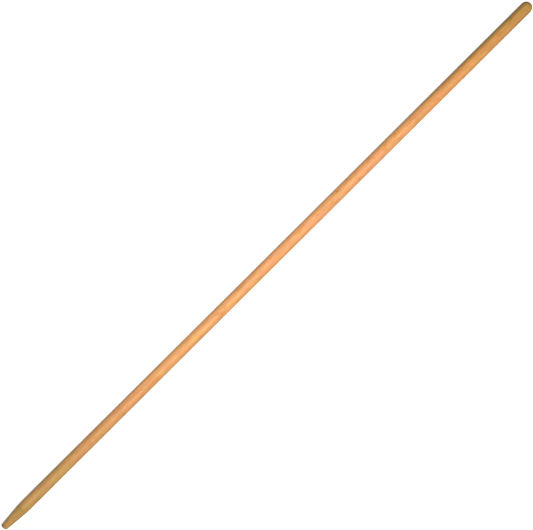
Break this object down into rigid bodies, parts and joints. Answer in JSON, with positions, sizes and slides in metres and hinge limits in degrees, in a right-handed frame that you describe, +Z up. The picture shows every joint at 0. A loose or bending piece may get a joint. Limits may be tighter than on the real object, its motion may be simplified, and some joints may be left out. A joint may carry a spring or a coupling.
{
  "type": "tapered wooden pole",
  "caption": "Straight round wooden pole with a tapered push-fit plug at one end and a rounded dome at the other, for a paint roller frame, broom or brush.",
  "frame": {"origin": "centre of the flat tip of the tapered plug, on the pole's axis", "axes": "+X along the pole's axis from the tip to the domed end, +Z up when the pole lies level"},
  "size_m": [1.5, 0.025, 0.025],
  "materials": {
    "wood": "matte"
  },
  "bodies": {
    "root": {"pole": "wood"}
  },
  "joints": []
}
